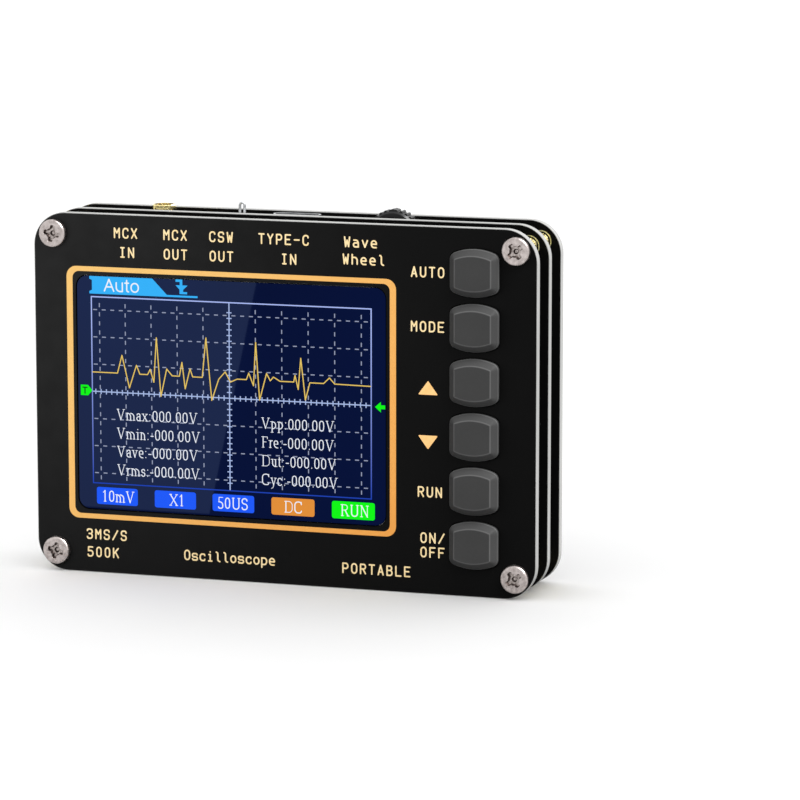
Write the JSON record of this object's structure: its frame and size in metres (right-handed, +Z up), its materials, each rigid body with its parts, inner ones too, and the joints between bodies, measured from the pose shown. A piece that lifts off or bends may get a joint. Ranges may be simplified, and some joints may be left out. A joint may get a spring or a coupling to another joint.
{
  "type": "handheld oscilloscope",
  "caption": "Pocket oscilloscope of stacked circuit boards on brass spacers, with a colour display, side keys, and a jog wheel, coaxial jacks and USB socket on its top edge.",
  "frame": {"origin": "middle of the footprint, at the boards' lower edges", "axes": "+Z up, -Y out of the display, +X to the right as seen facing the display"},
  "size_m": [0.095, 0.0195, 0.0681],
  "materials": {
    "solder_mask": "satin black solder mask on glass-epoxy board, pale routed edges",
    "screw_steel": "nickel-plated, satin",
    "brass": "machined, knurled",
    "gold_plate": "gold-plated brass",
    "gold_print": "gold-plated copper print",
    "display_glass": "polished cover glass over a lit colour display",
    "screen_light": "lit display graphics",
    "foam_tape": "black double-sided foam tape",
    "white_plastic": "moulded",
    "flex_film": "amber polyimide film",
    "key_plastic": "fine matt dark grey",
    "black_plastic": "moulded",
    "jog_plastic": "moulded, ribbed rim",
    "sheet_steel": "stamped, nickel-plated",
    "tin": "tinned",
    "ptfe": "machined PTFE",
    "cell_pouch": "laminated foil pouch",
    "red_wire": "silicone sleeve",
    "black_wire": "silicone sleeve",
    "chip_epoxy": "moulded epoxy",
    "ferrite": "sintered ferrite",
    "ceramic_chip": "fired, tinned ends"
  },
  "bodies": {
    "root": {"front_panel": "solder_mask", "main_board": "solder_mask", "rear_panel": "solder_mask", "front_screws": "screw_steel", "rear_screws": "screw_steel", "front_spacers": "brass", "rear_spacers": "brass", "lcd_glass": "display_glass", "lcd_adhesive": "foam_tape", "lcd_backlight_frame": "white_plastic", "lcd_flex": "flex_film", "snap_domes": "sheet_steel", "switch_terminals": "tin", "mcx_in_jack": "gold_plate", "mcx_in_insulator": "ptfe", "mcx_in_contact": "gold_plate", "mcx_out_jack": "gold_plate", "mcx_out_insulator": "ptfe", "mcx_out_contact": "gold_plate", "csw_out_loop": "tin", "usb_c_shell": "sheet_steel", "usb_c_tongue": "black_plastic", "jog_base": "black_plastic", "jog_cover": "sheet_steel", "battery_cell": "cell_pouch", "battery_tape": "foam_tape", "battery_header": "white_plastic", "battery_plug": "white_plastic", "battery_lead_red": "red_wire", "battery_lead_black": "black_wire", "logic_chips": "chip_epoxy", "power_inductor": "ferrite", "crystal_can": "sheet_steel", "chip_passives": "ceramic_chip", "switch_base_auto": "black_plastic", "switch_cover_auto": "sheet_steel", "switch_base_mode": "black_plastic", "switch_cover_mode": "sheet_steel", "switch_base_up": "black_plastic", "switch_cover_up": "sheet_steel", "switch_base_down": "black_plastic", "switch_cover_down": "sheet_steel", "switch_base_run": "black_plastic", "switch_cover_run": "sheet_steel", "switch_base_power": "black_plastic", "switch_cover_power": "sheet_steel"},
    "key_auto": {"key_auto": "key_plastic", "plunger_auto": "black_plastic"},
    "key_mode": {"key_mode": "key_plastic", "plunger_mode": "black_plastic"},
    "key_up": {"key_up": "key_plastic", "plunger_up": "black_plastic"},
    "key_down": {"key_down": "key_plastic", "plunger_down": "black_plastic"},
    "key_run": {"key_run": "key_plastic", "plunger_run": "black_plastic"},
    "key_power": {"key_power": "key_plastic", "plunger_power": "black_plastic"},
    "jog_cradle": {"jog_slider": "black_plastic"},
    "jog_wheel": {"jog_wheel": "jog_plastic"}
  },
  "joints": [
    {"name": "key_auto_press", "type": "slide", "parent": "root", "child": "key_auto", "axis": [0, 1, 0], "range_m": [0, 0.00025], "stiffness_N_per_m": 6000},
    {"name": "key_mode_press", "type": "slide", "parent": "root", "child": "key_mode", "axis": [0, 1, 0], "range_m": [0, 0.00025], "stiffness_N_per_m": 6000},
    {"name": "key_up_press", "type": "slide", "parent": "root", "child": "key_up", "axis": [0, 1, 0], "range_m": [0, 0.00025], "stiffness_N_per_m": 6000},
    {"name": "key_down_press", "type": "slide", "parent": "root", "child": "key_down", "axis": [0, 1, 0], "range_m": [0, 0.00025], "stiffness_N_per_m": 6000},
    {"name": "key_run_press", "type": "slide", "parent": "root", "child": "key_run", "axis": [0, 1, 0], "range_m": [0, 0.00025], "stiffness_N_per_m": 6000},
    {"name": "key_power_press", "type": "slide", "parent": "root", "child": "key_power", "axis": [0, 1, 0], "range_m": [0, 0.00025], "stiffness_N_per_m": 6000},
    {"name": "jog_press", "type": "slide", "parent": "root", "child": "jog_cradle", "axis": [0, 0, -1], "range_m": [0, 0.0005], "stiffness_N_per_m": 3000},
    {"name": "jog_turn", "type": "hinge", "parent": "jog_cradle", "child": "jog_wheel", "pos_m": [0.0174, 0.0039, 0.0624], "axis": [0, 1, 0], "range_deg": [-15, 15], "stiffness_Nm_per_rad": 0.02}
  ]
}
